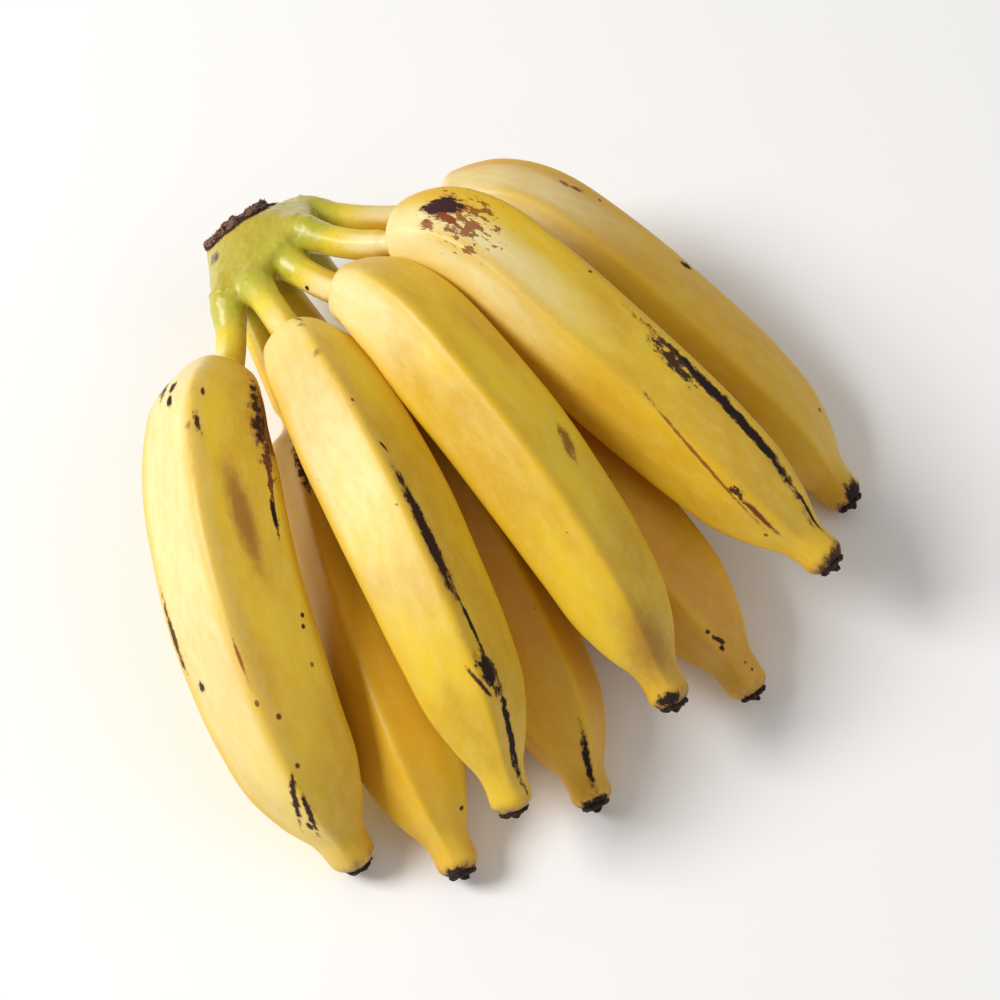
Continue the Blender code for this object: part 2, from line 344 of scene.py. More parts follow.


# bloomAndSheen: pale streaks of waxy bloom, set stronger on the lit upper fingers as a painted sheen
# flow: degrees from the first ridge towards the side that the stalk runs into, and how much
# pale: a painted highlight: degrees from the first ridge towards the side that faces the key light, how
# strong, and the share where it has faded
# early: mm by which the shoulder starts sooner than the solid's
# flare: how much the stalk widens just before the shoulder
# paintedShade: painted shade, how far the yellow leans to ochre on a finger that lies in shade
# marks: (share along the fruit, degrees from the first ridge, length mm, width mm, slant, ragged, soft,
#         strength, tint)
bananas = {
    "upper_banana_1": {
        "seed": 1.0, "bloomAndSheen": 0.5, "freckles": 0.12, "paintedShade": 0.00,
        "flow": (30, 0.45), "pale": (-36, 0.85, 1.3), "early": 2.0, "flare": 0.30,
        "marks": (
            (0.155, 70, 27, 6.5, 0, 0.8, 0.35, 0.8, "brown"),
            (0.165, 65, 25, 2.4, 0, 2, 0.25, 0.97, "scar"),
            (0.275, 64, 20, 1, -0.05, 2.2, 0.3, 0.94, "brown"),
            (0.345, 34, 24, 5, 0.1, 0.4, 0.6, 0.75, "smear"), (0.345, 62, 8, 1.3, 0, 0.4, 0.25, 1, "black"),
            (0.045, -58, 11, 4, 0.3, 1.2, 0.3, 0.94, "scar"),
            (0.085, -33, 2.6, 2, 0, 1.5, 0.3, 0.97, "scar"),
            (0.112, -31, 3.2, 2, 0.3, 1.2, 0.3, 1, "black"),
            (0.115, 10, 2.2, 1.1, 0.2, 0.8, 0.3, 0.94, "scar"),
            (0.173, 6, 4.6, 1.6, 0.2, 1.4, 0.3, 0.94, "scar"),
            (0.178, -2, 2, 1.8, 0, 1.2, 0.5, 0.6, "rust"),
            (0.82, -10, 12, 2.2, -0.55, 1.1, 0.25, 1, "scar"),
            (0.85, -4, 12, 1.7, -0.28, 1.1, 0.25, 1, "scar"),
            (0.875, -18, 2.4, 1.7, 0, 0.9, 0.25, 0.97, "scar"),
            (0.766, 9, 1.3, 1.1, 0, 0.5, 0.3, 0.97, "brown"),
            (0.681, 12, 1.5, 1.2, 0, 0.5, 0.3, 0.97, "brown"),
            (0.649, 0, 1.4, 1.1, 0, 0.5, 0.3, 0.8, "brown"), (0.534, 64, 1.3, 1, 0, 0.5, 0.3, 0.97, "scar"),
            (0.554, 62, 1.2, 1.1, 0, 0.5, 0.3, 0.97, "scar"),
            (0.622, 59, 1.3, 1, 0, 0.5, 0.3, 0.8, "brown"), (0.573, 0, 9, 0.8, 0, 0.8, 0.4, 0.8, "rust"),
            (0.5, -66, 18, 1.6, 0, 1, 0.3, 0.9, "scar"), (0.595, -55, 3.2, 1.8, 0, 1, 0.3, 0.94, "scar"),
        ),
    },
    "upper_banana_2": {
        "seed": 2.0, "bloomAndSheen": 0.6, "freckles": 0.12, "paintedShade": 0.00,
        "flow": (-60, 0.2), "pale": (-36, 0.55, 0.75), "early": 3.5, "flare": 0.10,
        "marks": (
            (0.121, -3, 2.6, 2, 0, 1.8, 0.5, 0.45, "brown"), (0.038, 2, 2, 1.6, 0, 1.6, 0.4, 0.45, "rust"),
            (0.012, 5, 3, 1, 0.4, 1, 0.4, 0.6, "brown"), (0.339, 9, 3.4, 0.9, 0.3, 0.7, 0.3, 0.94, "scar"),
            (0.238, 3, 1.1, 0.9, 0, 0.5, 0.3, 0.8, "brown"),
            (0.515, 10, 33, 3.4, 0.02, 0.7, 0.2, 1, "scar"),
            (0.68, 16, 19, 1.2, 0.07, 0.9, 0.25, 1, "scar"), (0.762, 16, 9, 5, 0.2, 1.3, 0.2, 1, "black"),
            (0.765, -2, 7, 1, 0.34, 1, 0.3, 0.94, "scar"), (0.78, 2, 5, 0.9, 0.5, 1, 0.3, 0.94, "scar"),
            (0.87, 27, 26, 2.4, 0.06, 0.9, 0.2, 1, "black"),
        ),
    },
    "upper_banana_3": {
        "seed": 3.0, "bloomAndSheen": 0.6, "freckles": 0.06, "paintedShade": 0.00,
        "flow": (-85, 0.45), "pale": (-40, 0.9, 0.30), "early": 3.2, "flare": 0.12,
        "marks": (
            (0.52, 49, 8, 3.2, -0.29, 1.1, 0.45, 0.7, "brown"),
            (0.885, 4, 16, 9, 0, 0.4, 0.9, 0.6, "smear"), (-0.104, -65, 1.7, 1.4, 0, 0.5, 0.2, 1, "scar"),
            (0.99, -22, 4, 6, 0, 1.2, 0.3, 0.97, "black"),
        ),
    },
    "upper_banana_4": {
        "seed": 4.0, "bloomAndSheen": 0.6, "freckles": 0.05, "paintedShade": 0.12,
        "flow": (-110, 0.5), "pale": (-72, 0.95, 0.5), "early": 5.0, "flare": 0.16,
        "marks": (
            (0.118, -40, 9, 8, -0.3, 3.6, 0.15, 0.8, "rust"), (0.074, -64, 3, 3, 0, 1.8, 0.25, 0.8, "rust"),
            (0.082, -33, 8, 7.5, 0.2, 0.7, 0.12, 1, "plum"), (0.098, -48, 5, 3, 0, 1.6, 0.15, 0.97, "rust"),
            (0.68, -12, 60, 2.9, -0.03, 0.7, 0.2, 1, "black"),
            (0.545, -18, 15, 3.2, -0.1, 1.5, 0.3, 0.94, "scar"),
            (0.9, -13, 16, 1, 0, 0.8, 0.3, 0.97, "scar"), (0.7, -77, 38, 0.9, -0.15, 0.9, 0.4, 0.8, "rust"),
            (0.797, -80, 5, 2, 0, 2, 0.25, 0.97, "scar"),
            (0.845, -85, 13, 1.5, -0.16, 0.5, 0.3, 0.97, "brown"),
            (0.879, -110, 1.1, 1, 0, 0.4, 0.3, 0.8, "brown"), (1, -40, 5, 9, 0, 1, 0.4, 0.94, "scar"),
        ),
    },
    "lower_banana_1": {
        "seed": 5.0, "bloomAndSheen": 0.3, "freckles": 0.04, "paintedShade": 0.35,
        "flow": (60, 0.3), "pale": (-40, 0.1, 0.3), "early": 1.0, "flare": 0.20,
        "marks": (
            (0.894, 62, 1.2, 1.1, 0, 0.4, 0.3, 0.97, "scar"),
            (0.11, 6, 24, 4, -0.05, 1.3, 0.3, 0.97, "scar"), (1, -10, 3, 7, 0, 1, 0.3, 0.97, "scar"),
        ),
    },
    "lower_banana_2": {
        "seed": 6.0, "bloomAndSheen": 0.3, "freckles": 0.04, "paintedShade": 0.70,
        "flow": (180, 0.3), "pale": (-40, 0.1, 0.3), "early": 1.0, "flare": 0.20,
        "marks": (
            (0.915, -11, 15, 1.9, -0.06, 1, 0.25, 1, "black"), (1, -20, 3, 8, 0, 1, 0.3, 1, "black"),
        ),
    },
    "lower_banana_3": {
        "seed": 7.0, "bloomAndSheen": 0.3, "freckles": 0.04, "paintedShade": 0.75,
        "flow": (180, 0.3), "pale": (-40, 0.1, 0.3), "early": 1.0, "flare": 0.20,
        "marks": (
            (0.866, -67, 1.5, 1.2, 0, 0.8, 0.3, 0.97, "scar"),
            (0.887, -62, 3.2, 1.6, 0.5, 1.4, 0.3, 0.97, "scar"),
            (0.903, -65, 1.6, 1.3, 0, 0.8, 0.3, 0.97, "scar"),
            (0.948, -36, 0.9, 0.8, 0, 0.4, 0.3, 0.7, "brown"),
            (0.965, -30, 0.9, 0.8, 0, 0.4, 0.3, 0.8, "scar"),
        ),
    },
    "lower_banana_4": {
        "seed": 8.0, "bloomAndSheen": 0.4, "freckles": 0.04, "paintedShade": 0.50,
        "flow": (-110, 0.4), "pale": (-60, 0.8, 0.4), "early": 5.5, "flare": 0.15,
        "marks": (
            (0.174, -20, 2.4, 1.5, 0, 1.3, 0.4, 0.8, "rust"),
            (0.194, -18, 3.2, 1.6, 0.2, 1.3, 0.4, 0.8, "brown"),
            (0.237, -11, 1.2, 1, 0, 0.5, 0.3, 0.8, "brown"), (0.447, -8, 2.8, 2.2, 0, 1, 0.3, 0.97, "scar"),
            (0.83, -13, 1.2, 1, 0, 0.5, 0.3, 0.8, "scar"), (1, -51, 8, 8, 0, 0.8, 0.35, 1, "black"),
        ),
    },
}


def makeBanana(name):
    shape = bananaShape
    spine = spines[name]
    own = bananas[name]
    stations = stationsOf(spine)

    def crestAt(s):
        return float(curveAt(spine["along"], spine["crest"], s) * endShare(s, spine))

    piece = loftRings(name.replace("banana", "peel"), stations, spine, shape["around"], crestAt)
    subdivide(piece, shape["levels"])
    points = pointsOf(piece)
    s, reach, angle = placeOnSpine(points, spine)
    share = (s - spine["shoulder"]) / (spine["tip"] - spine["shoulder"])
    fromRidge = angle - spine["ridgeTurn"]
    # the stalk flows into one side of the shoulder and stands off the other
    flowTurn, flow = own["flow"]
    pastShoulder = s - spine["shoulder"]
    leaning = 1 - smoothStep(pastShoulder / shape["flowReach"])
    slower = flow * np.cos(fromRidge - math.radians(flowTurn)) * leaning
    readAt = np.where(pastShoulder > 0, spine["shoulder"] + pastShoulder * (1 - slower), s)
    # the shoulder starts a little sooner than the solid's
    early = own["early"] * 0.001 * (1 - smoothStep(pastShoulder / shape["earlyReach"]))
    readAt = readAt + early * smoothStep((s - shape["earlyFrom"]) / shape["earlyOver"])
    # the stalk widens like a trumpet before the shoulder
    offFlare = (pastShoulder + shape["flareBefore"]) / shape["flareWidth"]
    fillet = 1 + own["flare"] * np.exp(-offFlare ** 2)
    crest = curveAt(spine["along"], spine["crest"], readAt) * endShare(s, spine) * fillet
    face = curveAt(spine["along"], spine["face"], readAt) * endShare(s, spine) * fillet
    full = fiveSided(fromRidge, shape["ridgeSharpness"])
    flat = full.min()
    radius = crest - (crest - face) * (1 - full) / (1 - flat)
    # crisp crests on the fruit, fading out on the stalk and the neck
    fade = shape["crestFade"]
    onFruit = smoothStep(share / fade) * smoothStep((shape["crestEnd"] - share) / fade)
    step = 2 * math.pi / ridgeCount
    offRidge = fromRidge - np.round(fromRidge / step) * step
    crisp = np.exp(-np.abs(offRidge / math.radians(shape["crestAngle"])) ** shape["crestPower"])
    radius = radius + shape["crestHeight"] * onFruit * crisp
    # slow waves in the skin
    shift = Vector((own["seed"] * shape["waveShift"], 0, 0))
    waves = np.array([noise.noise(p * shape["waveScale"] + shift) for p in map(Vector, points)])
    onStalk = shape["waveOnStalk"]
    radius = radius + shape["waveHeight"] * waves * (onStalk + (1 - onStalk) * onFruit)
    # the flat caps keep their own reach
    capGap = 0.0003
    capped = (s < stations[0] + capGap) | (s > stations[-1] - capGap)
    radius = np.where(capped, np.minimum(reach, radius), radius)
    centre, tangent, outward, side = spineAt(spine, s)
    arm = outward * np.cos(angle)[:, None] + side * np.sin(angle)[:, None]
    setPoints(piece, centre + arm * radius[:, None])
    ridge = np.clip(1 - np.abs(offRidge) * radius / shape["ridgeBand"], 0, 1) * onFruit
    saveVector(piece, "skin", np.stack([s, radius * np.cos(fromRidge), radius * np.sin(fromRidge)], 1))
    saveVector(piece, "zones", np.stack([share, ridge, np.zeros(len(s))], 1))
    shadeSmooth(piece)
    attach(piece, "root")
    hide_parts(name)
    return piece


peels = {name: makeBanana(name) for name in fingerNames}
print("bananas lofted", len(peels))


# the crown is where the stalks grow together
crownShape = {
    "voxel": 0.0005, "smoothing": 46, "rounding": 90, "roundReach": 0.007, "leastWeight": 0.01,
    # the sleeves that lead each stalk into the flesh
    "sleeveRings": 14, "sleeveAround": 24, "sleeveBefore": 0.010, "sleeveAfter": 0.014,
    "sleeveStart": 0.0009, "sleeveEnd": -0.0003, "sleeveTaper": 0.62,
    # the rim of the cut, and the lumps in the flesh
    "edgeBand": 0.0022, "rimReach": 1.32, "rimFade": 0.2,
    "lumpScale": 230, "lump": 0.0003, "lumpAtRim": 0.0004, "fineScale": 900, "fineAtRim": 0.0003,
    "quietReach": 0.008,
}


def cutFace():
    # the widest flat that looks away from the fingers: its normal and centre, the directions across
    # and through it, and its half sizes along these
    work = mergedNode("crown")
    flats = {}
    for face in work.faces:
        key = tuple(round(v, 1) for v in face.normal)
        area, total, place = flats.get(key, (0.0, Vector(), Vector()))
        size = face.calc_area()
        flats[key] = (area + size, total + face.normal * size, place + face.calc_center_median() * size)
    behind = [flat for flat in flats.values() if flat[1].normalized().y > 0.8]
    area, total, place = max(behind, key=lambda flat: flat[0])
    normal, place = total.normalized(), place / area
    rim = np.array([v.co[:] for v in work.verts if abs((v.co - place).dot(normal)) < 0.0002])
    work.free()
    arm = rim - rim.mean(0)
    across = np.linalg.svd(arm)[2][0]
    across = Vector(across if across[0] > 0 else -across)
    across = (across - normal * across.dot(normal)).normalized()
    through = normal.cross(across)
    halves = [max(abs(arm @ np.array(axis))) for axis in (across, through)]
    return normal, Vector(rim.mean(0)), across, through, halves


cutNormal, cutCentre, cutAcross, cutThrough, cutHalves = cutFace()


def alongFrom(centre, axis, points):
    # how far each point lies along an axis from the centre
    return (points - np.array(centre)) @ np.array(axis)


def nodeCopy(nodeName, pieceName):
    # a merged copy of a CAD node, free of its body
    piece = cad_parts[nodeName].copy()
    piece.data = piece.data.copy()
    piece.parent = None
    piece.name = piece.data.name = pieceName
    addToScene(piece)
    for key in list(piece.keys()):
        del piece[key]
    piece.data.materials.clear()
    makeActive(piece)
    setMode("EDIT")
    selectAll()
    bpy.ops.mesh.remove_doubles(threshold=mergeGap)
    setMode("OBJECT")
    return piece


def normalsOf(piece):
    values = np.zeros(len(piece.data.vertices) * 3)
    piece.data.vertices.foreach_get("normal", values)
    return values.reshape(-1, 3)


def raggedness(points, scale, octaves=3, shift=(0, 0, 0), falloff=0.8):
    places = [Vector(p) * scale + Vector(shift) for p in points]
    return np.array([noise.fractal(place, falloff, 2.0, octaves) for place in places])


def crownZones(points):
    # nearness to the rim of the cut, and how far each point is past the seat of its own stalk
    shape = crownShape
    wide = np.hypot(alongFrom(cutCentre, cutAcross, points) / cutHalves[0],
                    alongFrom(cutCentre, cutThrough, points) / cutHalves[1])
    near = smoothStep(1 + alongFrom(cutCentre, cutNormal, points) / shape["edgeBand"])
    near = near * smoothStep((shape["rimReach"] - wide) / shape["rimFade"])
    seat = np.array([spines[name]["centre"][0] for name in fingerNames])
    ahead = np.array([spines[name]["tangent"][0] for name in fingerNames])
    arm = points[:, None] - seat[None]
    past = (arm * ahead[None]).sum(2)
    aside = np.linalg.norm(arm - past[..., None] * ahead[None], axis=2) + np.maximum(0, -past)
    return near, past[np.arange(len(points)), aside.argmin(1)]


def makeCrown():
    shape = crownShape
    solid = nodeCopy("crown", "crown_flesh")
    parts = [solid]
    for name in fingerNames:
        spine = spines[name]
        stations = list(np.linspace(-shape["sleeveBefore"], shape["sleeveAfter"], shape["sleeveRings"]))

        def sleeve(s):
            fade = float(smoothStep(1 - s / shape["sleeveAfter"]))
            crest = float(curveAt(spine["along"], spine["crest"], s))
            back = float(smoothStep(-s / shape["sleeveBefore"])) * shape["sleeveTaper"]
            wide = crest + shape["sleeveEnd"] + (shape["sleeveStart"] - shape["sleeveEnd"]) * fade
            return wide * (1 - back)

        part = loftRings("sleeve", stations, spine, shape["sleeveAround"], sleeve)
        # nothing stands past the cut
        setMode("EDIT")
        selectAll()
        bpy.ops.mesh.bisect(plane_co=cutCentre, plane_no=cutNormal, use_fill=True, clear_outer=True)
        setMode("OBJECT")
        parts.append(part)
    clearSelection()
    for part in parts:
        part.select_set(True)
    bpy.context.view_layer.objects.active = solid
    bpy.ops.object.join()
    applyModifier(solid, "REMESH", mode="VOXEL", voxel_size=shape["voxel"])
    applyModifier(solid, "SMOOTH", factor=0.5, iterations=shape["smoothing"])
    # the flesh between the seats is rounded off more than the stalks
    near, pastSeat = crownZones(pointsOf(solid))
    rounded = smoothStep(1 - pastSeat / shape["roundReach"]) * (1 - near)
    group = solid.vertex_groups.new(name="rounded")
    for index, weight in enumerate(rounded):
        if weight > shape["leastWeight"]:
            group.add([index], float(weight), "REPLACE")
    applyModifier(solid, "SMOOTH", factor=0.5, iterations=shape["rounding"], vertex_group="rounded")
    points = pointsOf(solid)
    near, pastSeat = crownZones(points)
    lumps = raggedness(points, shape["lumpScale"])
    fine = raggedness(points, shape["fineScale"], shift=(5.3, 1.7, 0))
    quiet = smoothStep(1 - pastSeat / shape["quietReach"])
    atRim = near * (lumps * shape["lumpAtRim"] + fine * shape["fineAtRim"])
    move = quiet * (lumps * shape["lump"] + atRim)
    setPoints(solid, points + normalsOf(solid) * move[:, None])
    saveVector(solid, "zones", np.stack([near, pastSeat, np.zeros(len(points))], 1))
    shadeSmooth(solid)
    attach(solid, "root")
    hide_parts("crown")
    return solid


fibreShape = {
    "around": 40, "levels": 2, "size": 0.97, "sunk": 0.0012, "thickness": 0.0020, "hollow": 0.0008,
    # raggedness of the dry face
    "rag": 0.0011, "ragScale": 520, "fineShare": 0.45, "fineScale": 1500, "looseFrom": 0.0006,
    "looseOver": 0.0016, "aboveFloor": 0.0001,
    # loose strands
    "strands": 34, "strandLength": 0.0030, "strandWidth": 0.00045, "strandTip": 0.00008, "strandSides": 6,
    "strandSpread": 0.5, "strandBend": 0.00018, "rimShare": 0.92, "cornerTurn": 0.15, "cornerSpread": 0.25,
}


def makeCutFibres():
    # the dry frayed face left where the hand was cut off
    shape = fibreShape
    clearSelection()
    turn = Matrix((cutAcross, cutThrough, cutNormal)).transposed()
    bpy.ops.mesh.primitive_circle_add(vertices=shape["around"], radius=1, fill_type="NGON",
                                      location=(0, 0, 0))
    piece = bpy.context.object
    piece.name = piece.data.name = "crown_cut"
    setMode("EDIT")
    selectAll()
    width, depth = cutHalves[0] * shape["size"], cutHalves[1] * shape["size"]
    bpy.ops.transform.resize(value=(width, depth, 1), center_override=(0, 0, 0))
    bpy.ops.transform.translate(value=(0, 0, -shape["sunk"]))
    thick = shape["thickness"]
    for rise, size in ((shape["sunk"], 1.03), (0.4 * thick, 0.99), (0.6 * thick, 0.93)):
        bpy.ops.mesh.extrude_region_move(TRANSFORM_OT_translate={"value": (0, 0, rise)})
        bpy.ops.transform.resize(value=(size, size, 1), center_override=(0, 0, 0))
    for inset, sink in ((0.0012, 0.0), (0.0022, -shape["hollow"]), (0.0025, 0.0)):
        bpy.ops.mesh.inset(thickness=inset)
        bpy.ops.transform.translate(value=(0, 0, sink))
    bpy.ops.mesh.poke()
    closeUp()
    piece.data.transform(Matrix.Translation(cutCentre) @ turn.to_4x4())
    subdivide(piece, shape["levels"])
    points = pointsOf(piece)
    height = alongFrom(cutCentre, cutNormal, points)
    loose = smoothStep((height + shape["looseFrom"]) / shape["looseOver"])
    rag = raggedness(points, shape["ragScale"], 4)
    fine = raggedness(points, shape["fineScale"], shift=(10.6, 3.4, 0))
    move = loose * (rag * shape["rag"] + fine * shape["rag"] * shape["fineShare"])
    points = points + normalsOf(piece) * move[:, None]
    points[:, 2] = np.maximum(points[:, 2], floorHeight + shape["aboveFloor"])
    setPoints(piece, points)
    # loose strands round the rim, most of them towards the upper corner
    rng = np.random.default_rng(4)
    strands = []
    for k in range(shape["strands"]):
        angle = rng.uniform(0, 2 * math.pi)
        if k % 3 == 0:
            angle = rng.normal(shape["cornerTurn"], shape["cornerSpread"])
        rim = cutCentre + cutAcross * math.cos(angle) * cutHalves[0] * shape["rimShare"]
        rim = rim + cutThrough * math.sin(angle) * cutHalves[1] * shape["rimShare"]
        rim = rim + cutNormal * shape["thickness"] * 0.6
        lean = cutNormal + cutAcross * rng.normal(0, shape["strandSpread"])
        lean = lean + cutThrough * rng.normal(0, shape["strandSpread"])
        length = shape["strandLength"] * rng.uniform(0.5, 1.1)
        clearSelection()
        bpy.ops.mesh.primitive_cone_add(vertices=shape["strandSides"], radius1=shape["strandWidth"],
                                        radius2=shape["strandTip"], depth=length, location=rim,
                                        rotation=lean.to_track_quat("Z", "Y").to_euler())
        strand = bpy.context.object
        setMode("EDIT")
        selectAll()
        bpy.ops.mesh.subdivide(number_cuts=2)
        bpy.ops.transform.vertex_random(offset=shape["strandBend"], seed=k)
        setMode("OBJECT")
        applyPlace()
        strands.append(strand)
    clearSelection()
    for strand in strands:
        strand.select_set(True)
    piece.select_set(True)
    bpy.context.view_layer.objects.active = piece
    bpy.ops.object.join()
    shadeSmooth(piece)
    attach(piece, "root")
    return piece


crownFlesh = makeCrown()
cutFibres = makeCutFibres()
print("crown grown", len(crownFlesh.data.vertices))


blossomShape = {
    "around": 18, "levels": 2, "rag": 0.0005, "grain": 560, "grainShift": 5, "falloff": 0.7,
    "looseFrom": 0.0012, "looseOver": 0.0016, "turn": 1.3,
    # height in mm past the tip, and width as a share of the tip's
    "profile": ((-1.0, 0.50), (0.0, 0.70), (0.9, 0.76), (1.5, 0.70), (1.8, 0.56), (1.4, 0.40), (1.6, 0.26),
                (2.6, 0.18), (3.0, 0.08)),
}


def makeBlossomEnd():
    # one end about the origin, looking along +Z: heights in mm, for a tip one unit wide
    shape = blossomShape
    clearSelection()
    low, first = shape["profile"][0]
    bpy.ops.mesh.primitive_circle_add(vertices=shape["around"], radius=first, location=(0, 0, low))
    piece = bpy.context.object
    piece.name = "blossom_pattern"
    applyPlace()
    setMode("EDIT")
    height, radius = low, first
    for nextHeight, nextRadius in shape["profile"][1:]:
        bpy.ops.mesh.extrude_region_move(TRANSFORM_OT_translate={"value": (0, 0, nextHeight - height)})
        size = nextRadius / radius
        bpy.ops.transform.resize(value=(size, size, 1), center_override=(0, 0, 0))
        height, radius = nextHeight, nextRadius
    closeUp()
    return piece


def placeBlossomEnd(pattern, name):
    shape = blossomShape
    spine = spines[name]
    centre, tangent, outward, side = (Vector(v[0]) for v in spineAt(spine, spine["tip"]))
    piece = pattern.copy()
    piece.data = pattern.data.copy()
    piece.name = piece.data.name = name.replace("banana", "blossom")
    addToScene(piece)
    wide = float(spine["crest"][-1])
    seed = bananas[name]["seed"]
    turn = Matrix((side, outward, tangent)).transposed().to_4x4()
    turn = turn @ Matrix.Rotation(seed * shape["turn"], 4, "Z")
    piece.data.transform(Matrix.Translation(centre) @ turn @ Matrix.Diagonal((wide, wide, 0.001, 1)))
    subdivide(piece, shape["levels"])
    points = pointsOf(piece)
    rag = raggedness(points, shape["grain"], 4, (seed * shape["grainShift"], 0, 0), shape["falloff"])
    loose = smoothStep((alongFrom(centre, tangent, points) + shape["looseFrom"]) / shape["looseOver"])
    setPoints(piece, points + normalsOf(piece) * (rag * loose * shape["rag"])[:, None])
    shadeSmooth(piece)
    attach(piece, "root")
    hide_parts(name.replace("banana", "blossom_end"))
    return piece


blossomPattern = makeBlossomEnd()
blossoms = {name: placeBlossomEnd(blossomPattern, name) for name in fingerNames}
bpy.data.objects.remove(blossomPattern)
print("blossom ends placed", len(blossoms))


view = {"azimuth": -34, "elevation": 62, "distance": 0.80, "lens": 99.3, "shift": (-0.005, 0.02),
        "target": Vector((-0.0005, -0.0261, 0.0362))}
light = {
    "keyPower": 36, "keySize": 0.85, "keyFrom": Vector((-0.70, 0.42, 0.74)), "keyAway": 2.0,
    "keyColour": (1.0, 0.99, 0.97),
    "fillPower": 4.0, "fillSize": 1.6, "fillFrom": Vector((0.75, -0.75, 0.85)), "fillAway": 1.6,
    "fillColour": (1.0, 0.95, 0.87),
    "skyStrength": 0.355, "sky": tone(252, 250, 248),
}
ground = {"size": 30, "tone": tone(252, 252, 253), "roughness": 0.9}


def setStage():
    turn, rise = math.radians(view["azimuth"]), math.radians(view["elevation"])
    back = Vector((math.sin(turn) * math.cos(rise), -math.cos(turn) * math.cos(rise), math.sin(rise)))
    lens = bpy.data.cameras.new("viewCamera")
    lens.lens = view["lens"]
    lens.shift_x, lens.shift_y = view["shift"]
    camera = bpy.data.objects.new("viewCamera", lens)
    addToScene(camera)
    camera.location = view["target"] + back * view["distance"]
    camera.rotation_euler = back.to_track_quat("Z", "Y").to_euler()
    bpy.context.scene.camera = camera
    for name in ("key", "fill"):
        lamp = bpy.data.lights.new(name + "Light", "AREA")
        lamp.energy = light[name + "Power"]
        lamp.size = light[name + "Size"]
        lamp.color = light[name + "Colour"]
        lit = bpy.data.objects.new(name + "Light", lamp)
        addToScene(lit)
        towards = light[name + "From"].normalized()
        lit.location = towards * light[name + "Away"]
        lit.rotation_euler = towards.to_track_quat("Z", "Y").to_euler()
    world = bpy.data.worlds.new("studio")
    world.use_nodes = True
    sky = world.node_tree.nodes["Background"]
    sky.inputs["Color"].default_value = light["sky"]
    sky.inputs["Strength"].default_value = light["skyStrength"]
    bpy.context.scene.world = world
    bpy.context.scene.view_settings.view_transform = "Standard"
    clearSelection()
    bpy.ops.mesh.primitive_plane_add(size=ground["size"], location=(0, 0, floorHeight))
    floor = bpy.context.object
    floor.name = "floor"
    applyPlace()
    paint = bpy.data.materials.new("paleFloor")
    paint.use_nodes = True
    shader = paint.node_tree.nodes["Principled BSDF"].inputs
    shader["Base Color"].default_value = ground["tone"]
    shader["Roughness"].default_value = ground["roughness"]
    floor.data.materials.append(paint)


setStage()
print("stage set")

drawing = {}  # the tree that nodes are added to


def plug(sockets, values):
    # links what comes from a node, and sets the rest
    for key, value in values.items():
        if isinstance(value, bpy.types.NodeSocket):
            drawing["tree"].links.new(value, sockets[key])
        else:
            sockets[key].default_value = value


def addNode(kind, inputs=None, **settings):
    node = drawing["tree"].nodes.new(kind)
    for key, value in settings.items():
        setattr(node, key, value)
    plug(node.inputs, inputs or {})
    return node


def calc(operation, *values, clamp=False):
    inputs = dict(enumerate(values))
    return addNode("ShaderNodeMath", inputs, operation=operation, use_clamp=clamp).outputs[0]


def plus(first, second):
    return calc("ADD", first, second)


def minus(first, second):
    return calc("SUBTRACT", first, second)


def times(first, second, clamp=False):
    return calc("MULTIPLY", first, second, clamp=clamp)


def timesPlus(first, second, third, clamp=False):
    return calc("MULTIPLY_ADD", first, second, third, clamp=clamp)


def ramp(value, low, high):
    # 0 at low, 1 at high, smooth between them
    inputs = {"Value": value, "From Min": low, "From Max": high, "To Min": 0.0, "To Max": 1.0}
    return addNode("ShaderNodeMapRange", inputs, interpolation_type="SMOOTHSTEP").outputs["Result"]


def blendColour(amount, first, second):
    return addNode("ShaderNodeMix", {0: amount, 6: first, 7: second}, data_type="RGBA").outputs[2]


def vectorCalc(operation, *values):
    return addNode("ShaderNodeVectorMath", dict(enumerate(values)), operation=operation).outputs


def noiseAt(vector, scale, detail=3.0, rough=0.5, shift=None):
    place = vectorCalc("MULTIPLY", vector, scale)[0]
    if shift is not None:
        place = vectorCalc("ADD", place, shift)[0]
    inputs = {"Vector": place, "Scale": 1.0, "Detail": detail, "Roughness": rough}
    return addNode("ShaderNodeTexNoise", inputs).outputs["Fac"]


def splitVector(vector):
    return addNode("ShaderNodeSeparateXYZ", {0: vector}).outputs


def bumpFrom(height, strength):
    inputs = {"Height": height, "Distance": 1.0, "Strength": strength}
    return addNode("ShaderNodeBump", inputs).outputs["Normal"]


def startGroup(name, inputs, outputs):
    # inputs with their usual values, outputs with their kinds
    group = drawing["tree"] = bpy.data.node_groups.new(name, "ShaderNodeTree")
    for label, kind in outputs.items():
        group.interface.new_socket(label, in_out="OUTPUT", socket_type="NodeSocket" + kind)
    for label, value in inputs.items():
        kind = {3: "Vector", 4: "Color"}[len(value)] if isinstance(value, tuple) else "Float"
        socket = group.interface.new_socket(label, in_out="INPUT", socket_type="NodeSocket" + kind)
        socket.default_value = value
    return group, group.nodes.new("NodeGroupInput").outputs, group.nodes.new("NodeGroupOutput").inputs


# scale along and round the skin, detail and roughness of each of the skin's own patterns
grainShape = {
    "Broad": ((26, 55, 55), 3.0, 0.5),
    "Brush": ((150, 330, 330), 6.0, 0.66),
    "Fibre": ((160, 2300, 2300), 3.0, 0.6),
    "Rag": ((320, 520, 520), 6.0, 0.68),
    "Pores": ((1500, 1900, 1900), 2.0, 0.5),
}
seedStep = 7.31  # how far apart the patterns of two fingers lie


def buildGrain():
    group, given, result = startGroup(
        "peelGrain", {"Skin": (0, 0, 0), "Seed": 0.0}, dict.fromkeys(grainShape, "Float"))
    shift = addNode("ShaderNodeCombineXYZ", {0: times(given["Seed"], seedStep)}).outputs[0]
    for label, (scale, detail, rough) in grainShape.items():
        plug(result, {label: noiseAt(given["Skin"], scale, detail, rough, shift)})
    return group
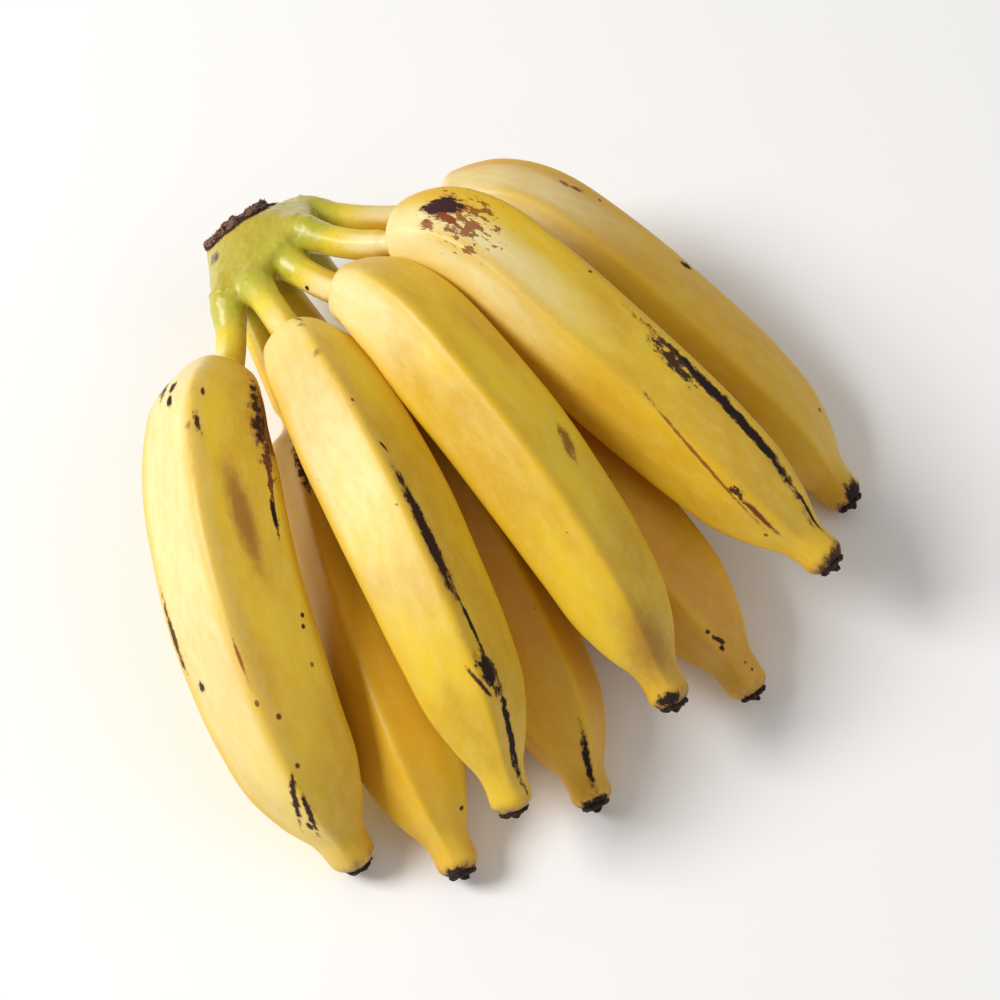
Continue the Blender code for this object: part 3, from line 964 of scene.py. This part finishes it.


# highlightCream is the tone of a painted highlight on the lit side of a finger
peelTones = {
    "yellow": tone(236, 199, 40), "deep": tone(216, 172, 40), "pale": tone(240, 214, 96),
    # ochre is the tone of the painted shade on the fingers that lie in shade
    "ochre": tone(218, 156, 42), "greenish": tone(206, 198, 66), "highlightCream": tone(240, 224, 164),
    "fibre": tone(190, 130, 30), "ridge": tone(226, 182, 30), "worn": tone(186, 128, 36),
    "neck": tone(214, 170, 44), "browned": tone(150, 98, 34), "dry": tone(46, 29, 17),
}
peelAmounts = {
    "pale": 0.4, "greenish": 0.16, "fibre": 0.05, "ridge": 0.6, "worn": 0.35, "neck": 0.35, "browned": 0.7,
    "brushAtEnd": 0.07, "broadAtEnd": 0.05,
}


def buildPeelColour():
    group, given, result = startGroup(
        "peelColour",
        {"Broad": 0.5, "Brush": 0.5, "Fibre": 0.5, "Share": 0.5, "Ridge": 0.0, "Bloom And Sheen": 0.5, "Facing": 0.0,
         "Painted Shade": 0.0},
        {"Colour": "Color"})
    broad, brush, fibre = given["Broad"], given["Brush"], given["Fibre"]
    share, ridge = given["Share"], given["Ridge"]
    much = peelAmounts
    colour = blendColour(ramp(broad, 0.34, 0.66), peelTones["yellow"], peelTones["deep"])
    # a faint green cast in patches, a painted cream highlight on the side that faces the light, saturated
    # and browned ridges
    cast = times(ramp(broad, 0.55, 0.40), ramp(brush, 0.45, 0.65))
    highlightCream = times(given["Facing"], timesPlus(brush, 0.9, 0.45), clamp=True)
    worn = times(ramp(ridge, 0.72, 1.0), ramp(brush, 0.50, 0.66))
    # dry and ragged at the blossom end
    end = timesPlus(minus(brush, 0.5), much["brushAtEnd"], share)
    end = timesPlus(minus(broad, 0.5), much["broadAtEnd"], end)
    for name, amount in (
            # painted shade: ochre on the fingers that lie in shade
            ("ochre", given["Painted Shade"]),
            # pale streaks: waxy bloom, partly a painted sheen, stronger on the lit upper fingers
            ("pale", times(ramp(brush, 0.42, 0.70), times(given["Bloom And Sheen"], much["pale"]))),
            ("greenish", times(cast, much["greenish"])),
            ("highlightCream", highlightCream),
            ("fibre", times(ramp(fibre, 0.50, 0.75), much["fibre"])),
            ("ridge", times(ramp(ridge, 0.45, 0.95), much["ridge"])),
            ("worn", times(worn, much["worn"])),
            ("neck", times(ramp(share, 0.86, 1.0), much["neck"])),
            ("browned", times(ramp(end, 0.975, 1.003), much["browned"])),
            ("dry", ramp(end, 0.997, 1.007))):
        colour = blendColour(amount, colour, peelTones[name])
    plug(result, {"Colour": colour})
    return group


stalkShape = {
    "flesh": tone(190, 172, 40), "green": tone(186, 182, 34), "yellow": tone(230, 204, 58),
    "speck": tone(150, 120, 44), "speckAmount": 0.22, "broadScale": (120, 120, 120),
    "fineScale": (750, 750, 750), "wander": 0.012, "broadHeight": 0.0004, "fineHeight": 0.00016,
}


def buildStalk():
    # green flesh at the crown turning yellow along the stalk, in object space so that pieces agree
    shape = stalkShape
    group, given, result = startGroup(
        "stalkSkin", {"Place": (0, 0, 0), "Past": 0.0}, {"Colour": "Color", "Height": "Float"})
    broad = noiseAt(given["Place"], shape["broadScale"])
    fine = noiseAt(given["Place"], shape["fineScale"], 5.0, 0.6)
    past = plus(given["Past"], -shape["wander"] / 2)
    past = timesPlus(broad, shape["wander"], past)
    colour = blendColour(ramp(past, -0.006, 0.004), shape["flesh"], shape["green"])
    colour = blendColour(ramp(past, 0.002, 0.014), colour, shape["yellow"])
    speck = times(ramp(fine, 0.50, 0.70), shape["speckAmount"])
    height = timesPlus(broad, shape["broadHeight"], times(fine, shape["fineHeight"]))
    plug(result, {"Colour": blendColour(speck, colour, shape["speck"]), "Height": height})
    return group


markShape = {"wobble": 3.2, "borderFrom": 1.25, "borderSoft": 1.5, "borderAmount": 0.55,
             "border": tone(150, 92, 34)}


def buildMark():
    # one scar or bruise, placed by its distance along the skin and its turn about the spine
    shape = markShape
    group, given, result = startGroup(
        "peelMark",
        {"Colour": (1, 1, 1, 1), "Scar": 0.0, "Skin": (0, 0, 0), "Rag": 0.5, "Along": 0.0, "Turn": 0.0,
         "Half Length": 0.01, "Half Width": 0.001, "Slant": 0.0, "Ragged": 1.0, "Soft": 0.2,
         "Strength": 1.0, "Tint": tone(70, 38, 18)},
        {"Colour": "Color", "Scar": "Float"})
    parts = splitVector(given["Skin"])
    turn = calc("RADIANS", given["Turn"])
    cosine, sine = calc("COSINE", turn), calc("SINE", turn)
    out = plus(times(parts[1], cosine), times(parts[2], sine))
    across = minus(times(parts[2], cosine), times(parts[1], sine))
    along = minus(parts[0], given["Along"])
    across = minus(across, times(along, given["Slant"]))
    u = calc("DIVIDE", along, given["Half Length"])
    v = calc("DIVIDE", across, given["Half Width"])
    reach = calc("SQRT", plus(times(u, u), times(v, v)))
    wobble = times(minus(given["Rag"], 0.5), given["Ragged"])
    reach = plus(reach, times(wobble, shape["wobble"]))
    # only on the side of the spine that the mark lies on
    facing = times(calc("GREATER_THAN", out, 0.0), given["Strength"])
    low, high = minus(1.0, given["Soft"]), plus(1.0, given["Soft"])
    core = times(ramp(reach, high, low), facing)
    outer = timesPlus(given["Soft"], shape["borderSoft"], shape["borderFrom"])
    border = ramp(reach, outer, low)
    border = times(times(border, shape["borderAmount"]), facing)
    colour = blendColour(border, given["Colour"], shape["border"])
    plug(result, {"Colour": blendColour(core, colour, given["Tint"]),
                        "Scar": calc("MAXIMUM", given["Scar"], core)})
    return group


freckleShape = {"scale": (110, 150, 150), "size": 0.06, "rag": 0.3, "tint": tone(120, 74, 26)}


def buildFreckles():
    # small spots strewn by chance
    shape = freckleShape
    group, given, result = startGroup(
        "peelFreckles",
        {"Colour": (1, 1, 1, 1), "Skin": (0, 0, 0), "Rag": 0.5, "Count": 0.2, "Seed": 0.0},
        {"Colour": "Color", "Mask": "Float"})
    shift = addNode("ShaderNodeCombineXYZ", {0: given["Seed"], 1: given["Seed"]}).outputs[0]
    place = vectorCalc("MULTIPLY", given["Skin"], shape["scale"])[0]
    place = vectorCalc("ADD", place, shift)[0]
    cells = addNode("ShaderNodeTexVoronoi", {"Vector": place, "Scale": 1.0}).outputs
    chance = addNode("ShaderNodeSeparateColor", {0: cells["Color"]}).outputs
    size = times(shape["size"], plus(0.4, chance[1]))
    reach = timesPlus(given["Rag"], shape["rag"], -shape["rag"] / 2)
    reach = plus(cells["Distance"], reach)
    dot = ramp(calc("DIVIDE", reach, size), 1.2, 0.7)
    mask = times(dot, calc("LESS_THAN", chance[0], given["Count"]))
    plug(result, {"Colour": blendColour(mask, given["Colour"], shape["tint"]), "Mask": mask})
    return group


groups = {"grain": buildGrain(), "peel": buildPeelColour(), "stalk": buildStalk(), "mark": buildMark(),
          "freckles": buildFreckles()}

tints = {"scar": tone(48, 18, 6), "brown": tone(112, 58, 18), "smear": tone(160, 104, 34),
         "black": tone(26, 9, 4), "plum": tone(56, 22, 26), "rust": tone(136, 62, 16)}


def placeGroup(name, inputs):
    return addNode("ShaderNodeGroup", inputs, node_tree=groups[name]).outputs


def startMaterial(name):
    # the material, the shader's inputs and each point's place
    material = bpy.data.materials.new(name)
    material.use_nodes = True
    drawing["tree"] = material.node_tree
    place = addNode("ShaderNodeTexCoord").outputs["Object"]
    return material, material.node_tree.nodes["Principled BSDF"].inputs, place


def attribute(name):
    return addNode("ShaderNodeAttribute", attribute_name=name).outputs["Vector"]


peelFinish = {
    "rough": 0.36, "brushRough": 0.16, "scarRough": 0.3, "wax": 0.3, "bump": 0.8,
    # relief in metres
    "fibre": 0.00005, "brush": 0.00013, "pores": 0.00004, "scar": -0.00018,
    "fixed": {"IOR": 1.45, "Specular IOR Level": 0.4, "Coat Roughness": 0.42, "Coat IOR": 1.7},
}


def peelMaterial(name):
    own, spine, finish = bananas[name], spines[name], peelFinish
    material, shader, place = startMaterial(name.replace("banana", "peel"))
    skin = attribute("skin")
    share, ridge, _ = splitVector(attribute("zones"))
    grain = placeGroup("grain", {"Skin": skin, "Seed": own["seed"]})
    # painted highlight: cream on the side that faces the light
    turn, highlightStrength, faded = own["pale"]
    side = vectorCalc("NORMALIZE", vectorCalc("MULTIPLY", skin, (0, 1, 1))[0])[0]
    towards = (0, math.cos(math.radians(turn)), math.sin(math.radians(turn)))
    side = vectorCalc("DOT_PRODUCT", side, towards)["Value"]
    # how much painted highlight, by how near the skin turns to the lit side
    facing = times(ramp(side, 0.60, 0.97), highlightStrength)
    facing = times(facing, ramp(share, faded, 0.3 * faded))
    colour = placeGroup("peel", {
        "Broad": grain["Broad"], "Brush": grain["Brush"], "Fibre": grain["Fibre"], "Share": share,
        "Ridge": ridge, "Bloom And Sheen": own["bloomAndSheen"], "Facing": facing, "Painted Shade": own["paintedShade"]})["Colour"]
    past = splitVector(skin)[0]
    stalk = placeGroup("stalk", {"Place": place, "Past": past})
    onFruit = ramp(past, 0.012, 0.024)
    colour = blendColour(onFruit, stalk["Colour"], colour)
    spots = placeGroup("freckles", {
        "Colour": colour, "Skin": skin, "Rag": grain["Rag"], "Count": own["freckles"], "Seed": own["seed"]})
    colour, scar = spots["Colour"], spots["Mask"]
    for at, turn, length, width, slant, ragged, soft, strength, tint in own["marks"]:
        marked = placeGroup("mark", {
            "Colour": colour, "Scar": scar, "Skin": skin, "Rag": grain["Rag"],
            "Along": spine["shoulder"] + at * (spine["tip"] - spine["shoulder"]), "Turn": turn,
            "Half Length": length / 2000, "Half Width": width / 2000, "Slant": slant, "Ragged": ragged,
            "Soft": soft, "Strength": strength, "Tint": tints[tint]})
        colour, scar = marked["Colour"], marked["Scar"]
    rough = timesPlus(grain["Brush"], finish["brushRough"], finish["rough"])
    rough = timesPlus(scar, finish["scarRough"], rough, clamp=True)
    relief = times(grain["Fibre"], finish["fibre"])
    relief = timesPlus(grain["Brush"], finish["brush"], relief)
    relief = timesPlus(grain["Pores"], finish["pores"], relief)
    relief = timesPlus(minus(stalk["Height"], relief),
                       minus(1.0, onFruit), relief)
    relief = timesPlus(scar, finish["scar"], relief)
    wax = times(minus(1.0, scar), ramp(grain["Brush"], 0.25, 0.6))
    plug(shader, {
        "Base Color": colour, "Roughness": rough, "Normal": bumpFrom(relief, finish["bump"]),
        "Coat Weight": times(wax, finish["wax"], clamp=True), **finish["fixed"]})
    return material


for name, piece in peels.items():
    piece.data.materials.append(peelMaterial(name))


crownFinish = {
    "fineScale": (700, 700, 700), "browned": tone(150, 118, 48), "dry": tone(44, 28, 18),
    "edgeRag": 0.7, "rough": 0.40, "dryRough": 0.4, "bump": 0.8,
    # the brown spot: how far behind the cut, which way it lies, and its size
    "spotNear": 0.002, "spotFar": 0.005, "spotAcross": 0.8, "spotUp": 0.6, "spotRag": 0.006,
    "spotSize": (0.0028, 0.0012), "spotAmount": 0.9, "spot": tone(84, 46, 16),
    "fixed": {"Specular IOR Level": 0.35, "Coat Roughness": 0.42, "Coat IOR": 1.55},
}


def knockedPlace():
    # the upper corner of the flesh at the left end of the cut, just behind it
    points = pointsOf(crownFlesh)
    depth = alongFrom(cutCentre, cutNormal, points)
    band = points[(depth < -crownFinish["spotNear"]) & (depth > -crownFinish["spotFar"])]
    lean = Vector((0, 0, crownFinish["spotUp"])) - cutAcross * crownFinish["spotAcross"]
    return Vector(band[(band @ np.array(lean)).argmax()])


def crownMaterial():
    finish = crownFinish
    material, shader, place = startMaterial("crownSkin")
    near, past, _ = splitVector(attribute("zones"))
    stalk = placeGroup("stalk", {"Place": place, "Past": past})
    fine = noiseAt(place, finish["fineScale"], 5.0, 0.6)
    edge = plus(near, timesPlus(fine, finish["edgeRag"], -finish["edgeRag"] / 2))
    colour = blendColour(ramp(edge, 0.15, 0.40), stalk["Colour"], finish["browned"])
    colour = blendColour(ramp(edge, 0.40, 0.60), colour, finish["dry"])
    spot = vectorCalc("DISTANCE", place, knockedPlace())["Value"]
    spot = timesPlus(minus(fine, 0.5), finish["spotRag"], spot)
    spot = times(ramp(spot, *finish["spotSize"]), finish["spotAmount"])
    plug(shader, {
        "Base Color": blendColour(spot, colour, finish["spot"]),
        "Roughness": timesPlus(ramp(edge, 0.3, 0.6), finish["dryRough"], finish["rough"]),
        "Normal": bumpFrom(stalk["Height"], finish["bump"]),
        "Coat Weight": ramp(edge, 0.35, 0.1), **finish["fixed"]})
    return material


cutFinish = {
    "dark": tone(84, 52, 36), "light": tone(176, 132, 106), "hollow": tone(40, 24, 18), "rough": 0.85,
    "coarseScale": (420, 420, 420), "coarse": 0.001, "fibreScale": (2200, 700, 2200), "fibre": 0.0008,
}


def cutMaterial():
    finish = cutFinish
    material, shader, place = startMaterial("dryCut")
    coarse = noiseAt(place, finish["coarseScale"], 4.0, 0.6)
    fibre = noiseAt(place, finish["fibreScale"], 4.0, 0.7)
    colour = blendColour(ramp(fibre, 0.36, 0.64), finish["dark"], finish["light"])
    colour = blendColour(ramp(coarse, 0.50, 0.62), colour, finish["hollow"])
    relief = timesPlus(coarse, finish["coarse"], times(fibre, finish["fibre"]))
    plug(shader, {
        "Base Color": colour, "Roughness": finish["rough"], "Normal": bumpFrom(relief, 1.0)})
    return material


blossomFinish = {"dark": tone(14, 8, 6), "light": tone(70, 42, 28), "rough": 0.5, "specular": 0.25,
                 "scale": (900, 900, 900), "relief": 0.0009}


def blossomMaterial():
    finish = blossomFinish
    material, shader, place = startMaterial("dryBlossom")
    grain = noiseAt(place, finish["scale"], 6.0, 0.65)
    plug(shader, {
        "Base Color": blendColour(ramp(grain, 0.38, 0.68), finish["dark"], finish["light"]),
        "Roughness": finish["rough"], "Specular IOR Level": finish["specular"],
        "Normal": bumpFrom(times(grain, finish["relief"]), 1.0)})
    return material


crownFlesh.data.materials.clear()
crownFlesh.data.materials.append(crownMaterial())
cutFibres.data.materials.append(cutMaterial())
dryBlossom = blossomMaterial()
for piece in blossoms.values():
    piece.data.materials.append(dryBlossom)
print("finishes built")
